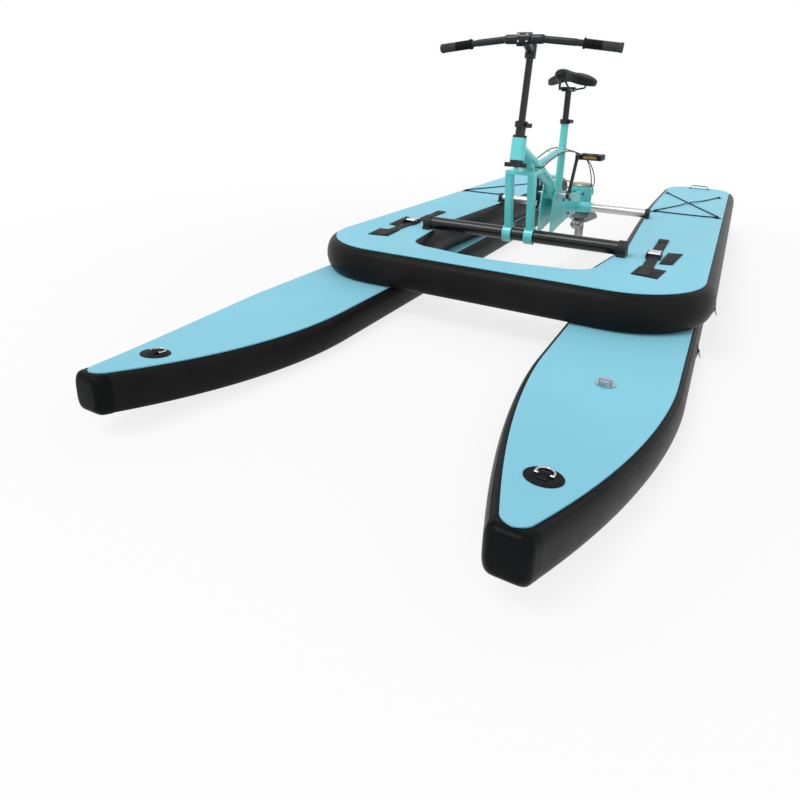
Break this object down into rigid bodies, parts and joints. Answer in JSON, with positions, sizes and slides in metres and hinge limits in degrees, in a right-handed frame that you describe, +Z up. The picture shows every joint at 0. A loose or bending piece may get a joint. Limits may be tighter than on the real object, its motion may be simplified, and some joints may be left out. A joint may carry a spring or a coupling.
{
  "type": "inflatable water bike",
  "caption": "Inflatable catamaran water bike: twin pontoons, U-shaped deck, pedal frame with chain and shaft drive to a steerable lifting propeller leg.",
  "frame": {"origin": "on the floor under the middle of the overall box", "axes": "+Z up, -Y towards the bows, +X towards port"},
  "size_m": [1.462, 3.758, 0.9968],
  "materials": {
    "blue_foam": "textured closed-cell foam",
    "black_pvc": "satin coated fabric",
    "turquoise_paint": "gloss paint",
    "black_paint": "satin paint",
    "silver_tube": "brushed",
    "steel": "bright",
    "black_plastic": "moulded",
    "black_rubber": "soft moulded",
    "black_webbing": "woven",
    "grey_plastic": "moulded",
    "grey_alloy": "anodised",
    "prop_plastic": "moulded",
    "bronze_cap": "turned",
    "chain_steel": "oiled",
    "bronze_bush": "turned",
    "valve_metal": "polished"
  },
  "bodies": {
    "platform": {"port_pontoon": "black_pvc", "starboard_pontoon": "black_pvc", "port_pontoon_pad": "blue_foam", "starboard_pontoon_pad": "blue_foam", "deck_chamber": "black_pvc", "deck_pad": "blue_foam", "tow_patches": "black_pvc", "valve_bodies": "valve_metal", "cargo_patches": "black_pvc", "bungee_cords": "black_webbing", "strap_patches": "black_pvc", "webbing": "black_webbing", "buckle_frames": "steel", "bar_cradles": "grey_plastic", "front_crossbar": "black_paint", "rear_crossbar": "silver_tube", "frame": "turquoise_paint", "side_plates": "turquoise_paint", "frame_bolts": "black_paint", "bearings": "steel", "chain": "chain_steel", "gear_housing": "turquoise_paint", "housing_cap": "bronze_cap", "yaw_bushes": "bronze_bush", "headset": "black_paint", "steering_cables": "black_plastic", "seat_clamp": "black_paint"},
    "port_tow_ring": {"port_tow_ring": "steel"},
    "starboard_tow_ring": {"starboard_tow_ring": "steel"},
    "port_valve_cap": {"port_valve_cap": "valve_metal"},
    "starboard_valve_cap": {"starboard_valve_cap": "valve_metal"},
    "deck_valve_cap": {"deck_valve_cap": "valve_metal"},
    "port_buckle_lever": {"port_buckle_lever": "steel"},
    "starboard_buckle_lever": {"starboard_buckle_lever": "steel"},
    "crank_set": {"crank_axle": "steel", "chainring": "black_paint", "port_crank": "black_paint", "starboard_crank": "black_paint", "pedal_spindles": "steel"},
    "port_pedal": {"port_pedal": "black_plastic"},
    "starboard_pedal": {"starboard_pedal": "black_plastic"},
    "input": {"input_shaft": "steel", "sprocket": "steel", "drive_bevel": "steel"},
    "upper_shaft": {"upper_shaft": "steel", "driven_bevel": "steel"},
    "yaw_sleeve": {"yaw_sleeve": "grey_alloy"},
    "drive_leg": {"drive_leg": "grey_alloy"},
    "lower_shaft": {"lower_shaft": "steel"},
    "propeller": {"prop_shaft": "steel", "propeller": "prop_plastic"},
    "steering": {"steerer": "black_paint", "post_clamp": "black_paint"},
    "post_lever": {"post_lever": "steel"},
    "handlebar_post": {"stem_post": "black_paint", "handlebar": "black_paint", "grips": "black_rubber"},
    "seat": {"seatpost": "black_paint", "saddle": "black_rubber"},
    "seat_lever": {"seat_lever": "steel"}
  },
  "joints": [
    {"name": "steering", "type": "hinge", "parent": "platform", "child": "steering", "pos_m": [0, -0.433, 0.562], "axis": [0, 0.1392, 0.9903], "range_deg": [-40, 40]},
    {"name": "leg_yaw", "type": "hinge", "parent": "platform", "child": "yaw_sleeve", "pos_m": [0, 0.704, 0.225], "axis": [0, 0, 1], "range_deg": [-40, 40]},
    {"name": "leg_lift", "type": "slide", "parent": "yaw_sleeve", "child": "drive_leg", "axis": [0, 0, -1], "range_m": [0, 0.095]},
    {"name": "post_height", "type": "slide", "parent": "steering", "child": "handlebar_post", "axis": [0, 0.1392, 0.9903], "range_m": [-0.08, 0.03]},
    {"name": "post_lever_swing", "type": "hinge", "parent": "steering", "child": "post_lever", "pos_m": [0, -0.38449, 0.68444], "axis": [-1, 0, 0], "range_deg": [0, 170]},
    {"name": "seat_height", "type": "slide", "parent": "platform", "child": "seat", "axis": [0, 0, 1], "range_m": [-0.1, 0.05]},
    {"name": "seat_lever_swing", "type": "hinge", "parent": "platform", "child": "seat_lever", "pos_m": [0, 0.24, 0.68], "axis": [-1, 0, 0], "range_deg": [0, 170]},
    {"name": "crank", "type": "hinge", "parent": "platform", "child": "crank_set", "pos_m": [0, 0.095, 0.37], "axis": [1, 0, 0], "continuous": true},
    {"name": "port_pedal_spin", "type": "hinge", "parent": "crank_set", "child": "port_pedal", "pos_m": [0.151, 0.14029, 0.53904], "axis": [1, 0, 0], "continuous": true},
    {"name": "starboard_pedal_spin", "type": "hinge", "parent": "crank_set", "child": "starboard_pedal", "pos_m": [-0.151, 0.04971, 0.20096], "axis": [1, 0, 0], "continuous": true},
    {"name": "input_spin", "type": "hinge", "parent": "platform", "child": "input", "pos_m": [0, 0.704, 0.32], "axis": [1, 0, 0], "continuous": true},
    {"name": "upper_shaft_spin", "type": "hinge", "parent": "platform", "child": "upper_shaft", "pos_m": [0, 0.704, 0.225], "axis": [0, 0, 1], "continuous": true},
    {"name": "lower_shaft_spin", "type": "hinge", "parent": "drive_leg", "child": "lower_shaft", "pos_m": [0, 0.704, 0.225], "axis": [0, 0, 1], "continuous": true},
    {"name": "propeller_spin", "type": "hinge", "parent": "drive_leg", "child": "propeller", "pos_m": [0, 0.77, 0.13], "axis": [0, 1, 0], "continuous": true},
    {"name": "port_tow_ring_swing", "type": "hinge", "parent": "platform", "child": "port_tow_ring", "pos_m": [0.508, -1.67824, 0.14457], "axis": [1, 0, 0], "range_deg": [0, 150]},
    {"name": "starboard_tow_ring_swing", "type": "hinge", "parent": "platform", "child": "starboard_tow_ring", "pos_m": [-0.508, -1.67824, 0.14457], "axis": [1, 0, 0], "range_deg": [0, 150]},
    {"name": "port_valve_cap_turn", "type": "hinge", "parent": "platform", "child": "port_valve_cap", "pos_m": [0.52, -1.166, 0.10548], "axis": [0, 0.0061, 1], "range_deg": [0, 90]},
    {"name": "starboard_valve_cap_turn", "type": "hinge", "parent": "platform", "child": "starboard_valve_cap", "pos_m": [-0.3, -0.56, 0.05], "axis": [1, 0, 0], "range_deg": [0, 90]},
    {"name": "deck_valve_cap_turn", "type": "hinge", "parent": "platform", "child": "deck_valve_cap", "pos_m": [-0.5205, 1.57, 0.241], "axis": [0, 0, 1], "range_deg": [0, 90]},
    {"name": "port_buckle_lever_swing", "type": "hinge", "parent": "platform", "child": "port_buckle_lever", "pos_m": [0.504, -0.29, 0.25], "axis": [1, 0, 0], "range_deg": [0, 100]},
    {"name": "starboard_buckle_lever_swing", "type": "hinge", "parent": "platform", "child": "starboard_buckle_lever", "pos_m": [-0.504, -0.29, 0.25], "axis": [1, 0, 0], "range_deg": [0, 100]}
  ],
  "couplings": [
    {"joint": "leg_yaw", "follows": "steering", "ratio": -1},
    {"joint": "input_spin", "follows": "crank", "ratio": 2.8571},
    {"joint": "upper_shaft_spin", "follows": "crank", "ratio": -5.7143},
    {"joint": "lower_shaft_spin", "follows": "crank", "ratio": -5.7143},
    {"joint": "propeller_spin", "follows": "crank", "ratio": 5.7143}
  ]
}
